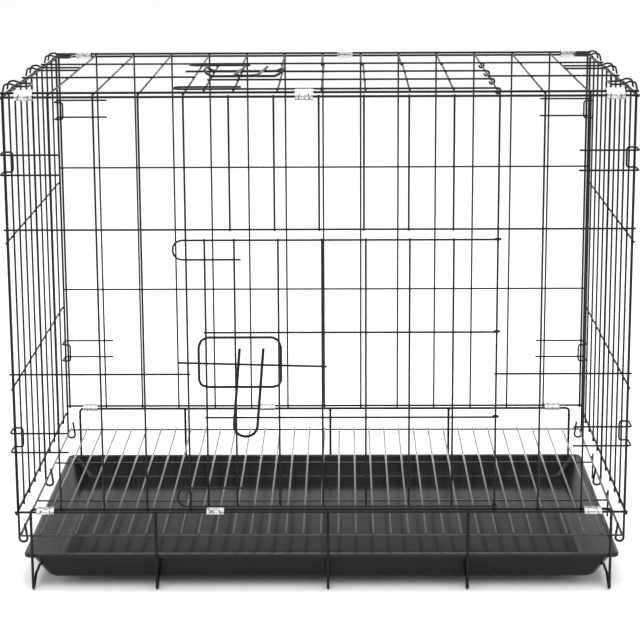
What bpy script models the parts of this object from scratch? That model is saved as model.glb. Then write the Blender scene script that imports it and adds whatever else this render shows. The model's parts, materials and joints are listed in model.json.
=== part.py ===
"""Folding wire dog crate with a front door, a top door and a slide-out tray. Metres, +Z up.

The origin is on the ground under the middle of the whole crate. The front faces -Y. Every panel
is a welded grid: upright wires in the panel's plane and cross wires on their outer side.
"""

import math

import bmesh
import bpy
from mathutils import Matrix, Vector

# Overall sizes, between the middles of the wires
WIDTH = 0.600
DEPTH = 0.400
PANEL_BOTTOM = 0.083
PANEL_TOP = 0.494

# Radii of the round wires
THIN = 0.0010
EDGE = 0.0012
BASE = 0.0014
BOLT = 0.0011
GUIDE = 0.0013
HANDLE = 0.0014

# A wire is drawn with six sides and the section of the round one: its corners stand out this much
HEX = 1.1
FLAT = HEX * math.cos(math.pi / 6)
WELD = 0.00035
GAP = 0.0003

# Front and back panels
BAYS = 14
CELL = WIDTH / BAYS
LOW_ROW = 0.2235
HIGH_ROW = 0.3665
STUB = 0.0020
TOP_STUB = 0.0015
ROW_OVERHANG = 0.0030

# Door openings, in bays from the left, and the row that closes them at the far end
LEFT_POST_BAY = 4
RIGHT_POST_BAY = 11

# Top panel: its rows behind the front panel's plane, or before the back panel's
TOP_FRONT_ROW = 0.0038
TOP_LOW_ROW = 0.145
TOP_HIGH_ROW_INSET = 0.120
TOP_RISE = 0.0015

# Doors
DOOR_WIRES = 6
FRONT_DOOR_BOTTOM_GAP = 0.0061
FRONT_DOOR_TOP_GAP = 0.0102
TOP_DOOR_BOTTOM_GAP = 0.0235
TOP_DOOR_TOP_GAP = 0.0080
LATCH_STILE = 0.0180
LATCH_SPAN = 0.0465
HINGE_GAP = 0.0004
HAIRPIN_SPREAD = 0.0190
HAIRPIN_REACH = 0.0125
HAIRPIN_TAIL = 0.0530
DOOR_STUB = 0.0012

# Latches, placed from the left post and from the door's row above them
FRONT_LATCH_ROOM = 0.0312
TOP_LATCH_ROOM = 0.0236
GUIDE_INSET = 0.0113
GUIDE_WIDTH = 0.0796
GUIDE_HEIGHT = 0.0495
GUIDE_DROP = 0.0046
GUIDE_CORNER = 0.0080
GUIDE_BEND = 0.0035
BOLT_DROP = 0.0312
BOLT_OVERLAP = 0.0090
BOLT_LENGTH = 0.1444
BOLT_STANDOFF = 0.0060
HANDLE_INSET = 0.0611
HANDLE_WIDTH = 0.0230
HANDLE_UP = 0.0170
HANDLE_DOWN = 0.0715
HANDLE_LEAN = 0.0060
HANDLE_BEND = 0.0112

# Base stand
FRONT_BAR_RISE = 0.0015
BACK_BAR_RISE = -0.0020
BAR_TURN_DOWN = 0.0088
BAR_BEND = 0.0040
LEFT_SUPPORT_INSET = 0.0120
RIGHT_SUPPORT_INSET = 0.0125
INNER_SUPPORT_BAYS = (3.173, 7.163, 10.407)
FOOT_FLAT_END = 0.0085
FOOT_BEND = 0.0022
RUN_START = 0.0240
FLOOR_WIRES = 33
FLOOR_INSET = 0.0210
FLOOR_CROSS = (0.120, 0.258)
RAIL_INSET = 0.0015
RAIL_OVER_TRAY = 0.0211
STOP_DEPTHS = (0.136, 0.272)
STOP_DIP = 0.0040
STOP_RISE = 0.0039

# Tray
TRAY_END_GAP = 0.0030
TRAY_BACK_GAP = 0.0440
TRAY_POST_GAP = 0.0007
TRAY_BOTTOM = 0.0120
TRAY_RIM = 0.0370
TRAY_WALL = 0.0022
TRAY_LIP = 0.0045
TRAY_LIP_DEPTH = 0.0018
TRAY_END_TAPER = 0.0220
TRAY_SIDE_TAPER = 0.0100
TRAY_CORNER = 0.0080
TRAY_CORNER_STEPS = 3

# Side panels
SIDE_BAYS = 10
SIDE_INSET = 0.0120
SIDE_BOTTOM_DROP = 0.0060
SIDE_TOP_DROP = 0.0022
SIDE_LOW_ROW = 0.205
SIDE_HIGH_ROW = 0.351
EYE_DROP = 0.0101
EYE_WIDTH = 0.0085
EYE_TIP_RISE = 0.0089
EYE_LEAN = 0.0026
EYE_BEND = 0.0035

# Corner hooks: each one's upper arm below the panel's top wire or above its bottom wire
HOOK_SPREAD = 0.0193
HOOK_ARM = 0.0528
HOOK_BACK = 0.0065
HOOK_TURN_IN = 0.0092
HOOK_BEND = 0.0026
UPPER_HOOK_DROPS = {
    "front_left": 0.0550,
    "front_right": 0.0520,
    "back_left": 0.0500,
    "back_right": 0.0500,
}
LOWER_HOOK_RISES = {
    "front_left": 0.0810,
    "front_right": 0.0870,
    "back_left": 0.0790,
    "back_right": 0.0780,
}

# Top hooks: how far each one reaches in from the edge, and its curled end outside the side panel
TOP_HOOK_SPREAD = 0.0280
TOP_HOOK_REACHES = {"front": 0.017, "middle": CELL + 0.0031, "back": 0.020}
FRONT_TOP_HOOK = 0.070
MIDDLE_TOP_HOOK_SHIFT = 0.0095
BACK_TOP_HOOK_INSET = 0.040
TOP_HOOK_CORNER = 0.0060
ARCH_START = 0.0060
ARCH_RISE = 0.0028
SHOULDER_OUT = 0.0032
SHOULDER_RISE = 0.0018
CURL_OUT = 0.0049
CURL_DROP = 0.0067

# Clips, with their places along each edge in bays from the left
CLIP_WIDTH = 0.0170
CLIP_SLACK = 0.0004
CLIP_SHEET = 0.0007
CLIP_BAYS = {
    "front_top_clip": (0.474, 6.678, 13.545),
    "back_top_clip": (0.674, 7.588, 13.477),
    "front_base_clip": (0.637, 4.569, 13.272),
    "back_base_clip": (0.572, 5.448, 13.246),
}


def bay_x(bay):
    """The place of an upright, or of a fraction of a bay, along the front."""
    return -WIDTH / 2 + bay * CELL


def welded(first, second):
    """Distance between the middles of two wires welded where they cross."""
    return (first + second) * HEX - WELD


def beside(first, second, gap=GAP):
    """Distance between the middles of two wires of separate pieces that lie side by side."""
    return (first + second) * HEX + gap


# Places that follow from the sizes above
LEFT_POST = bay_x(LEFT_POST_BAY)
RIGHT_POST = bay_x(RIGHT_POST_BAY)
FRONT_BAR_HEIGHT = PANEL_BOTTOM + FRONT_BAR_RISE
BACK_BAR_HEIGHT = PANEL_BOTTOM + BACK_BAR_RISE
RAIL_X = WIDTH / 2 - RAIL_INSET
RAIL_HEIGHT = TRAY_RIM + RAIL_OVER_TRAY
LEFT_SUPPORT = -WIDTH / 2 + LEFT_SUPPORT_INSET
RIGHT_SUPPORT = WIDTH / 2 - RIGHT_SUPPORT_INSET
BAR_Y = beside(THIN, BASE)
ARM_Y = -beside(THIN, THIN, HINGE_GAP)
DOOR_WIRE_Y = ARM_Y + welded(THIN, THIN)
GUIDE_Y = DOOR_WIRE_Y - beside(THIN, GUIDE)
ARCH_Y = -BOLT_STANDOFF - beside(BOLT, GUIDE, HINGE_GAP)
HANDLE_Y = -BOLT_STANDOFF - beside(BOLT, HANDLE)
FRONT_REACH = -HANDLE_Y + HANDLE * HEX
HOOK_Y = -beside(EDGE, THIN)
CLIP_INSIDE = (BASE * HEX + CLIP_SLACK) / math.cos(math.pi / 6)
BACK_REACH = welded(THIN, EDGE) + CLIP_INSIDE + CLIP_SHEET
FRONT_Y = -DEPTH / 2 + (FRONT_REACH - BACK_REACH) / 2
TOP_Z = PANEL_TOP + TOP_RISE
TOP_HIGH_ROW = DEPTH - TOP_HIGH_ROW_INSET
FLOOR_CROSS_Y = BAR_Y + beside(BASE, THIN)
FLOOR_CROSS_Z = RAIL_HEIGHT - welded(THIN, EDGE)
FLOOR_WIRE_Z = FLOOR_CROSS_Z + welded(THIN, THIN)
RUN_Z = TRAY_BOTTOM - GAP - BASE * FLAT
FOOT_Z = BASE * FLAT
SIDE_X = RAIL_X + beside(EDGE, EDGE)
SIDE_ROW_X = SIDE_X + welded(THIN, EDGE)
SIDE_BOTTOM = PANEL_BOTTOM - SIDE_BOTTOM_DROP
SIDE_TOP = PANEL_TOP - SIDE_TOP_DROP

FRONT_FRAME = Matrix.Translation((0, FRONT_Y, 0))
BACK_FRAME = Matrix.Translation((0, FRONT_Y + DEPTH, 0)) @ Matrix.Rotation(math.pi, 4, "Z")
TOP_FRAME = Matrix.Translation((0, FRONT_Y, TOP_Z)) @ Matrix.Rotation(-math.pi / 2, 4, "X")
ACROSS = Vector((1, 0, 0))
OUTWARD = Vector((0, -1, 0))
UP = Vector((0, 0, 1))


def clear_scene():
    for obj in list(bpy.data.objects):
        bpy.data.objects.remove(obj, do_unlink=True)


def finish(name, colour, roughness, metallic):
    material = bpy.data.materials.new(name)
    material.use_nodes = True
    shader = material.node_tree.nodes["Principled BSDF"]
    shader.inputs["Base Color"].default_value = (*colour, 1.0)
    shader.inputs["Roughness"].default_value = roughness
    shader.inputs["Metallic"].default_value = metallic
    return material


def bent(points, radius, steps=2):
    """The points of a wire's middle line, with each corner turned into an arc."""
    points = [Vector(point) for point in points]
    line = [points[0]]
    for before, corner, after in zip(points, points[1:], points[2:]):
        arriving = (corner - before).normalized()
        leaving = (after - corner).normalized()
        turn = arriving.angle(leaving)
        start = corner - arriving * radius * math.tan(turn / 2)
        hinge = arriving.cross(leaving).normalized()
        centre = start + hinge.cross(arriving) * radius
        for step in range(steps + 1):
            swing = Matrix.Rotation(turn * step / steps, 3, hinge)
            line.append(centre + swing @ (start - centre))
    line.append(points[-1])
    return line


def bent_ring(points, radius, steps=2):
    """As bent, for a closed loop."""
    line = bent([points[-1], *points, points[0]], radius, steps)
    return line[1:-1]


def draw_wire(mesh, points, radius, normal, closed=False):
    """Adds a six-sided wire along the points, with two of its corners facing along the normal."""
    points = [Vector(point) for point in points]
    count = len(points)
    legs = [(points[(i + 1) % count] - points[i]).normalized() for i in range(count)]
    side = legs[0].cross(normal).normalized()
    rise = side.cross(legs[0])
    section = []
    for corner in range(6):
        angle = corner * math.pi / 3
        section.append((rise * math.cos(angle) + side * math.sin(angle)) * radius * HEX)
    rings = []
    for i, point in enumerate(points):
        arriving = legs[i - 1]
        leaving = legs[i]
        if not closed and i == 0:
            ring = section
        elif not closed and i == count - 1:
            ring = section
        else:
            cut = (arriving + leaving).normalized()
            if i == 0:
                ring = [o - leaving * o.dot(cut) / leaving.dot(cut) for o in section]
            else:
                ring = [o - arriving * o.dot(cut) / arriving.dot(cut) for o in section]
            section = [o - leaving * o.dot(leaving) for o in ring]
        rings.append([mesh.verts.new(point + offset) for offset in ring])
    pairs = list(zip(rings, rings[1:]))
    if closed:
        pairs.append((rings[-1], rings[0]))
    for start, end in pairs:
        for a in range(6):
            b = (a + 1) % 6
            mesh.faces.new((start[a], start[b], end[b], end[a]))
    if not closed:
        mesh.faces.new(rings[0][::-1])
        mesh.faces.new(rings[-1])


def draw_rod(mesh, start, end, radius, normal):
    draw_wire(mesh, [start, end], radius, normal)


def place(name, mesh, material, frame=None, origin=(0, 0, 0), parent=None):
    """Makes a bmesh drawn in a panel's frame into an object whose origin is at the given point."""
    frame = frame or Matrix.Identity(4)
    origin = Vector(origin)
    bmesh.ops.translate(mesh, verts=mesh.verts, vec=-origin)
    data = bpy.data.meshes.new(name)
    mesh.to_mesh(data)
    mesh.free()
    data.materials.append(material)
    data.shade_smooth()
    data.set_sharp_from_angle(angle=math.radians(65))
    obj = bpy.data.objects.new(name, data)
    bpy.context.scene.collection.objects.link(obj)
    obj.matrix_basis = frame @ Matrix.Translation(origin)
    if parent:
        obj.parent = parent
        obj.matrix_parent_inverse = parent.matrix_basis.inverted()
    return obj


def weld_on(obj, mesh, frame=None, origin=(0, 0, 0)):
    """Joins the wires drawn in the bmesh to the object, as spot welds do."""
    wires = place(obj.name + "_cross_wires", mesh, obj.data.materials[0], frame, origin, obj)
    wires.hide_render = True
    wires.display_type = "WIRE"
    joint = obj.modifiers.new("weld", "BOOLEAN")
    joint.operation = "UNION"
    joint.solver = "EXACT"
    joint.object = wires


def make_grid(name, bays, rows, ends, material, frame):
    """A flat grid in its panel's frame, with an upright at each bay and rows between the ends.

    Each row is a height and a radius, from the lowest up.
    """
    uprights = bmesh.new()
    low = rows[0][0] - STUB
    high = rows[-1][0] + TOP_STUB
    for bay in bays:
        radius = EDGE if bay in (0, BAYS) else THIN
        draw_rod(uprights, (bay_x(bay), 0, low), (bay_x(bay), 0, high), radius, OUTWARD)
    grid = place(name, uprights, material, frame)
    crossing = bmesh.new()
    for height, radius in rows:
        y = -welded(THIN, radius)
        draw_rod(crossing, (ends[0], y, height), (ends[1], y, height), radius, OUTWARD)
    weld_on(grid, crossing, frame)


def panel_rows(heights):
    """The rows of a panel: thick ones at its edges and thin ones between them."""
    thin = [(height, THIN) for height in heights[1:-1]]
    return [(heights[0], EDGE), *thin, (heights[-1], EDGE)]


def make_doorway_panel(prefix, far_grid, sill, rows, material, frame):
    """A panel with a doorway: a grid on each side of it, one beyond it, and the wire before it."""
    outer = WIDTH / 2 + ROW_OVERHANG
    left = LEFT_POST + STUB
    right = RIGHT_POST - STUB
    left_bays = range(LEFT_POST_BAY + 1)
    right_bays = range(RIGHT_POST_BAY, BAYS + 1)
    make_grid(prefix + "_left_grid", left_bays, rows, (-outer, left), material, frame)
    make_grid(prefix + "_right_grid", right_bays, rows, (right, outer), material, frame)
    inner_bays = range(LEFT_POST_BAY + 1, RIGHT_POST_BAY)
    inner_ends = (left + GAP, right - GAP)
    make_grid(prefix + far_grid, inner_bays, rows[2:], inner_ends, material, frame)
    height, radius = rows[0]
    y = -welded(THIN, radius)
    wire = bmesh.new()
    draw_rod(wire, (inner_ends[0], y, height), (inner_ends[1], y, height), radius, OUTWARD)
    place(prefix + sill, wire, material, frame, (0, y, height))


def row_heights(low, high, room):
    """A door's four cross wires. The inner two stand as far apart as the latch and its room need."""
    outer_bay = (high - low - GUIDE_DROP - GUIDE_HEIGHT - room) / 2
    return [low, low + outer_bay, high - outer_bay, high]


def hinge_curl(height):
    """The end of a door's cross wire, rolled round the hinge post from the front."""
    reach = -ARM_Y
    curl = []
    for step in range(9):
        angle = math.radians(-90 + 255 * step / 8)
        curl.append((RIGHT_POST + reach * math.cos(angle), reach * math.sin(angle), height))
    return curl


def make_door(name, rows, material, frame):
    """A door hung on the right post. Its outer rows end in hairpins that lie on the left post."""
    origin = (RIGHT_POST, 0, rows[0])
    stile = LEFT_POST + LATCH_STILE
    pitch = (RIGHT_POST - LEFT_POST - LATCH_SPAN) / DOOR_WIRES
    uprights = bmesh.new()
    low = rows[0] - DOOR_STUB
    high = rows[-1] + DOOR_STUB
    for x in [stile] + [RIGHT_POST - pitch * (wire + 1) for wire in range(DOOR_WIRES)]:
        draw_rod(uprights, (x, DOOR_WIRE_Y, low), (x, DOOR_WIRE_Y, high), THIN, OUTWARD)
    door = place(name, uprights, material, frame, origin)
    crossing = bmesh.new()
    for index, height in enumerate(rows):
        inward = {0: 1, len(rows) - 1: -1}.get(index, 0)
        if inward:
            tip = LEFT_POST - HAIRPIN_REACH
            back = height + inward * HAIRPIN_SPREAD
            start = bent(
                [
                    (LEFT_POST + HAIRPIN_TAIL, ARM_Y, back),
                    (tip, ARM_Y, back),
                    (tip, ARM_Y, height),
                    (stile, ARM_Y, height),
                ],
                HAIRPIN_SPREAD * 0.48,
            )
        else:
            start = [(stile - STUB, ARM_Y, height)]
        draw_wire(crossing, start + hinge_curl(height), THIN, OUTWARD)
    weld_on(door, crossing, frame, origin)
    return door


def make_latch(prefix, second_row, metal, door, frame):
    """Guide, bolt and handle of one door. The guide is welded to the door, and the bolt slides in it."""
    left = LEFT_POST + GUIDE_INSET
    right = left + GUIDE_WIDTH
    top = second_row - GUIDE_DROP
    bottom = top - GUIDE_HEIGHT
    half_way = (GUIDE_Y + ARCH_Y) / 2
    notch = GUIDE_CORNER * (1 - math.sqrt(0.5))
    loop = []
    for x, z, inward, upward in (
        (left, bottom, 1, 1),
        (right, bottom, -1, 1),
        (right, top, -1, -1),
        (left, top, 1, -1),
    ):
        corner = [
            (x + inward * GUIDE_CORNER, GUIDE_Y, z),
            (x + inward * notch, half_way, z + upward * notch),
            (x, ARCH_Y, z + upward * GUIDE_CORNER),
        ]
        loop += corner if inward != upward else corner[::-1]
    guide = bmesh.new()
    draw_wire(guide, bent_ring(loop, GUIDE_BEND, 1), GUIDE, OUTWARD, closed=True)
    guide_origin = (left, GUIDE_Y, bottom)
    place(prefix + "_latch_guide", guide, metal, frame, guide_origin, door)

    bolt_height = second_row - BOLT_DROP
    start = LEFT_POST - BOLT_OVERLAP
    axis = (LEFT_POST + HANDLE_INSET, -BOLT_STANDOFF, bolt_height)
    rod = bmesh.new()
    draw_rod(
        rod,
        (start, -BOLT_STANDOFF, bolt_height),
        (start + BOLT_LENGTH, -BOLT_STANDOFF, bolt_height),
        BOLT,
        OUTWARD,
    )
    bolt = place(prefix + "_bolt", rod, metal, frame, axis, door)

    middle = LEFT_POST + HANDLE_INSET
    slope = HANDLE_LEAN / HANDLE_DOWN
    sides = []
    for side in (-1, 1):
        x = middle + side * HANDLE_WIDTH / 2
        sides.append(
            (
                (x + slope * HANDLE_UP, HANDLE_Y, bolt_height + HANDLE_UP),
                (x - HANDLE_LEAN, HANDLE_Y, bolt_height - HANDLE_DOWN),
            )
        )
    path = [sides[0][0], sides[0][1], sides[1][1], sides[1][0]]
    grip = bmesh.new()
    draw_wire(grip, bent(path, HANDLE_BEND, 3), HANDLE, OUTWARD)
    place(prefix + "_handle", grip, metal, frame, axis, bolt)


def make_side_panel(name, side, material):
    """A side panel. Its first, middle and last wires end in open eyes round the base's side rail."""
    origin = (side * RAIL_X, FRONT_Y + SIDE_INSET, RAIL_HEIGHT)
    normal = ACROSS * side
    pitch = (DEPTH - 2 * SIDE_INSET) / SIDE_BAYS
    x = side * SIDE_X
    top = SIDE_TOP + EDGE * FLAT
    eye_bottom = RAIL_HEIGHT - EYE_DROP
    uprights = bmesh.new()
    for bay in range(SIDE_BAYS + 1):
        y = FRONT_Y + SIDE_INSET + bay * pitch
        if bay % (SIDE_BAYS // 2):
            draw_rod(uprights, (x, y, SIDE_BOTTOM - STUB), (x, y, top), THIN, normal)
            continue
        inner = x - side * EYE_WIDTH
        path = [
            (x, y, top),
            (x, y, eye_bottom),
            (inner, y, eye_bottom),
            (inner + side * EYE_LEAN, y, RAIL_HEIGHT + EYE_TIP_RISE),
        ]
        draw_wire(uprights, bent(path, EYE_BEND), EDGE, normal)
    panel = place(name, uprights, material, None, origin)
    crossing = bmesh.new()
    for height, radius in panel_rows([SIDE_BOTTOM, SIDE_LOW_ROW, SIDE_HIGH_ROW, SIDE_TOP]):
        row_x = side * (SIDE_X + welded(THIN, radius))
        near = FRONT_Y + SIDE_INSET - STUB
        far = FRONT_Y + DEPTH - SIDE_INSET + STUB
        draw_rod(crossing, (row_x, near, height), (row_x, far, height), radius, normal)
    weld_on(panel, crossing, None, origin)
    return panel


def make_corner_hook(name, corner, height, material):
    """A hairpin welded on a panel's corner, whose closed end reaches behind the side panel's edge."""
    at_back = corner.startswith("back")
    frame = BACK_FRAME if at_back else FRONT_FRAME
    side = 1 if corner.endswith("left") == at_back else -1
    near = side * (WIDTH / 2 - HOOK_ARM)
    outer = side * (SIDE_X + beside(EDGE, THIN))
    behind = SIDE_INSET + HOOK_BACK
    inner = outer - side * HOOK_TURN_IN
    low = height - HOOK_SPREAD
    path = [
        (near, HOOK_Y, height),
        (outer, HOOK_Y, height),
        (outer, behind, height),
        (inner, behind, height),
        (inner, behind, low),
        (outer, behind, low),
        (outer, HOOK_Y, low),
        (near, HOOK_Y, low),
    ]
    hook = bmesh.new()
    draw_wire(hook, bent(path, HOOK_BEND, 1), THIN, UP)
    place(name, hook, material, frame, path[0])


def make_top_hook(name, side, middle, reach, material):
    """A hairpin welded on the top panel, whose two ends curl down outside the side panel."""
    level = TOP_Z + beside(EDGE, THIN)
    start = WIDTH / 2 - ARCH_START
    inner = side * (WIDTH / 2 - reach)
    arm = [
        (SIDE_ROW_X + CURL_OUT, level - CURL_DROP),
        (SIDE_ROW_X + SHOULDER_OUT, level + SHOULDER_RISE),
        (SIDE_X, level + ARCH_RISE),
    ]
    y = FRONT_Y + middle
    near = y - TOP_HOOK_SPREAD / 2
    far = y + TOP_HOOK_SPREAD / 2
    closed_end = [
        (side * start, near, level),
        (inner, near, level),
        (inner, far, level),
        (side * start, far, level),
    ]
    path = [(side * x, near, z) for x, z in arm]
    path += bent(closed_end, TOP_HOOK_CORNER, 1)
    path += [(side * x, far, z) for x, z in reversed(arm)]
    hook = bmesh.new()
    draw_wire(hook, path, THIN, UP)
    place(name, hook, material, None, path[0])


def make_bar(name, height, frame, steel):
    """The base's top bar along one panel, with its ends turned down onto the end supports."""
    low = height - BAR_TURN_DOWN
    path = [
        (LEFT_SUPPORT, BAR_Y, low),
        (LEFT_SUPPORT, BAR_Y, height),
        (RIGHT_SUPPORT, BAR_Y, height),
        (RIGHT_SUPPORT, BAR_Y, low),
    ]
    if frame is BACK_FRAME:
        path = [(-x, y, z) for x, y, z in reversed(path)]
    bar = bmesh.new()
    draw_wire(bar, bent(path, BAR_BEND), BASE, OUTWARD)
    place(name, bar, steel, frame, path[0])


def make_support(name, x, at_end, steel):
    """One wire: a front post, a foot, the run under the tray, another foot and a back post."""
    drop = BAR_TURN_DOWN + GAP if at_end else BASE * FLAT + GAP
    foot = [(BAR_Y, FOOT_Z), (FOOT_FLAT_END, FOOT_Z), (RUN_START, RUN_Z)]
    near = [(BAR_Y, FRONT_BAR_HEIGHT - drop), *foot]
    far = [(BAR_Y, BACK_BAR_HEIGHT - drop), *foot]
    half = [(x, FRONT_Y + y, z) for y, z in near]
    other = [(x, FRONT_Y + DEPTH - y, z) for y, z in reversed(far)]
    path = bent(half[:3], FOOT_BEND) + [half[3], other[0]] + bent(other[1:], FOOT_BEND)
    wire = bmesh.new()
    draw_wire(wire, path, BASE, ACROSS)
    place(name, wire, steel, None, (x, FRONT_Y, 0))


def make_floor(steel):
    """The grid that the dog stands on: lengthwise wires and side rails on four cross wires."""
    depths = [FLOOR_CROSS_Y, *FLOOR_CROSS, DEPTH - FLOOR_CROSS_Y]
    near = FRONT_Y + FLOOR_CROSS_Y - THIN / 2
    far = FRONT_Y + DEPTH - FLOOR_CROSS_Y + THIN / 2
    cross = bmesh.new()
    for depth in depths:
        y = FRONT_Y + depth
        end = RAIL_X + EDGE
        draw_rod(cross, (-end, y, FLOOR_CROSS_Z), (end, y, FLOOR_CROSS_Z), THIN, UP)
    floor = place("floor_grid", cross, steel)
    lengthwise = bmesh.new()
    half = WIDTH / 2 - FLOOR_INSET
    for wire in range(FLOOR_WIRES):
        x = -half + 2 * half * wire / (FLOOR_WIRES - 1)
        draw_rod(lengthwise, (x, near, FLOOR_WIRE_Z), (x, far, FLOOR_WIRE_Z), THIN, UP)
    for side in (-1, 1):
        x = side * RAIL_X
        draw_rod(lengthwise, (x, near, RAIL_HEIGHT), (x, far, RAIL_HEIGHT), EDGE, UP)
    weld_on(floor, lengthwise)


def make_stop(name, depth, steel):
    x = RAIL_X + beside(EDGE, THIN)
    y = FRONT_Y + depth
    low = TRAY_RIM - STOP_DIP
    stop = bmesh.new()
    draw_rod(stop, (x, y, low), (x, y, RAIL_HEIGHT + STOP_RISE), THIN, ACROSS)
    place(name, stop, steel, None, (x, y, low))


def outline(end_inset, side_inset, corner, height):
    """A rounded rectangle inside the tray's rim, anticlockwise seen from above."""
    half = WIDTH / 2 - TRAY_END_GAP - end_inset
    near = FRONT_Y + BAR_Y + BASE * HEX + TRAY_POST_GAP + side_inset
    far = FRONT_Y + DEPTH - TRAY_BACK_GAP - side_inset
    middles = [
        (-half + corner, near + corner, math.pi),
        (half - corner, near + corner, 1.5 * math.pi),
        (half - corner, far - corner, 0.0),
        (-half + corner, far - corner, 0.5 * math.pi),
    ]
    points = []
    for x, y, start in middles:
        for step in range(TRAY_CORNER_STEPS + 1):
            angle = start + 0.5 * math.pi * step / TRAY_CORNER_STEPS
            points.append((x + corner * math.cos(angle), y + corner * math.sin(angle), height))
    return points


def make_tray(plastic):
    """A shallow moulded tray with sloping walls and a flat lip."""
    inner_corner = TRAY_CORNER - TRAY_LIP
    under = TRAY_RIM - TRAY_LIP_DEPTH
    floor = TRAY_BOTTOM + TRAY_WALL
    inner_end = TRAY_END_TAPER + TRAY_WALL
    inner_side = TRAY_SIDE_TAPER + TRAY_WALL
    levels = [
        outline(TRAY_END_TAPER, TRAY_SIDE_TAPER, TRAY_CORNER, TRAY_BOTTOM),
        outline(TRAY_LIP - TRAY_WALL, TRAY_LIP - TRAY_WALL, TRAY_CORNER, under),
        outline(0, 0, TRAY_CORNER, under),
        outline(0, 0, TRAY_CORNER, TRAY_RIM),
        outline(TRAY_LIP, TRAY_LIP, inner_corner, TRAY_RIM),
        outline(inner_end, inner_side, inner_corner, floor),
    ]
    mesh = bmesh.new()
    rings = [[mesh.verts.new(point) for point in level] for level in levels]
    for lower, upper in zip(rings, rings[1:]):
        for a in range(len(lower)):
            b = (a + 1) % len(lower)
            mesh.faces.new((lower[a], lower[b], upper[b], upper[a]))
    mesh.faces.new(rings[0][::-1])
    mesh.faces.new(rings[-1])
    place("tray", mesh, plastic, None, (0, FRONT_Y, TRAY_BOTTOM))


def loop_round(first, second, radius):
    """A flat-sided loop round two points of a section, as (y, z)."""
    run = (second - first).normalized()
    across = Vector((-run.y, run.x))
    loop = []
    for centre, start in ((second, -90), (first, 90)):
        for step in range(4):
            angle = math.radians(start + 60 * step)
            loop.append(centre + (run * math.cos(angle) + across * math.sin(angle)) * radius)
    return loop


def make_clip(name, x, first, second, zinc):
    """A sheet sleeve folded round two wires that run along X, at the given places in section."""
    inner = loop_round(first, second, CLIP_INSIDE)
    outer = loop_round(first, second, CLIP_INSIDE + CLIP_SHEET)
    mesh = bmesh.new()
    ends = []
    for end in (x - CLIP_WIDTH / 2, x + CLIP_WIDTH / 2):
        ends.append([[mesh.verts.new((end, *point)) for point in loop] for loop in (inner, outer)])
    (inner_left, outer_left), (inner_right, outer_right) = ends
    for a in range(len(inner)):
        b = (a + 1) % len(inner)
        mesh.faces.new((outer_left[a], outer_left[b], outer_right[b], outer_right[a]))
        mesh.faces.new((inner_left[b], inner_left[a], inner_right[a], inner_right[b]))
        mesh.faces.new((outer_left[b], outer_left[a], inner_left[a], inner_left[b]))
        mesh.faces.new((outer_right[a], outer_right[b], inner_right[b], inner_right[a]))
    bmesh.ops.recalc_face_normals(mesh, faces=mesh.faces)
    place(name, mesh, zinc, None, (x, *first))


def make_clips(zinc):
    row_y = welded(THIN, EDGE)
    far_y = FRONT_Y + DEPTH
    top_z = TOP_Z + row_y
    pairs = {
        "front_top_clip": (
            Vector((FRONT_Y - row_y, PANEL_TOP)),
            Vector((FRONT_Y + TOP_FRONT_ROW, top_z)),
        ),
        "back_top_clip": (
            Vector((far_y + row_y, PANEL_TOP)),
            Vector((far_y - TOP_FRONT_ROW, top_z)),
        ),
        "front_base_clip": (
            Vector((FRONT_Y - row_y, PANEL_BOTTOM)),
            Vector((FRONT_Y + BAR_Y, FRONT_BAR_HEIGHT)),
        ),
        "back_base_clip": (
            Vector((far_y + row_y, PANEL_BOTTOM)),
            Vector((far_y - BAR_Y, BACK_BAR_HEIGHT)),
        ),
    }
    for edge, bays in CLIP_BAYS.items():
        for number, bay in enumerate(bays):
            make_clip(f"{edge}_{number + 1}", bay_x(bay), *pairs[edge], zinc)


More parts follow.
